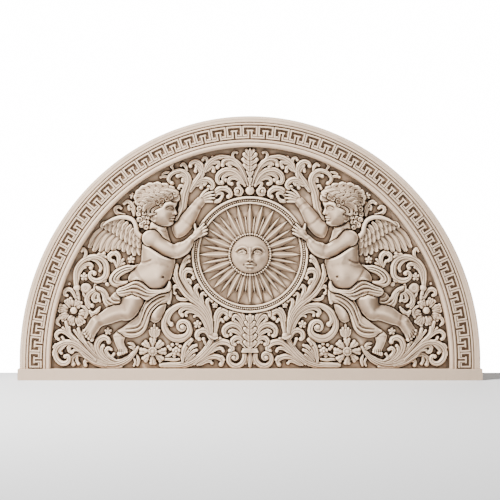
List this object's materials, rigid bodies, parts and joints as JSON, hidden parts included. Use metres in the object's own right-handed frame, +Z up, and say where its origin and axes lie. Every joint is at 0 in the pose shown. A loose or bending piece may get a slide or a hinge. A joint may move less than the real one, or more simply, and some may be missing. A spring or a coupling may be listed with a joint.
{
  "type": "tympanum panel",
  "caption": "Round-topped carved stone panel for above a door: framed by a Greek key, with winged children holding a sun medallion among acanthus scrolls, on a sill.",
  "frame": {"origin": "on the flat back, on the centreline, behind the middle of the medallion", "axes": "+X to the right seen from the front, +Y towards the wall, +Z up; the carved front faces -Y"},
  "size_m": [1.8, 0.129, 1.023],
  "materials": {
    "carved_stone": "carved limestone, matt, brown in the recesses",
    "frame_stone": "carved limestone, matt, brown in the grooves",
    "sill_stone": "smooth sawn limestone, matt"
  },
  "bodies": {
    "root": {"carved_panel": "carved_stone", "arch_frame": "frame_stone", "sill_centre": "sill_stone", "sill_left": "sill_stone", "sill_right": "sill_stone"}
  },
  "joints": []
}
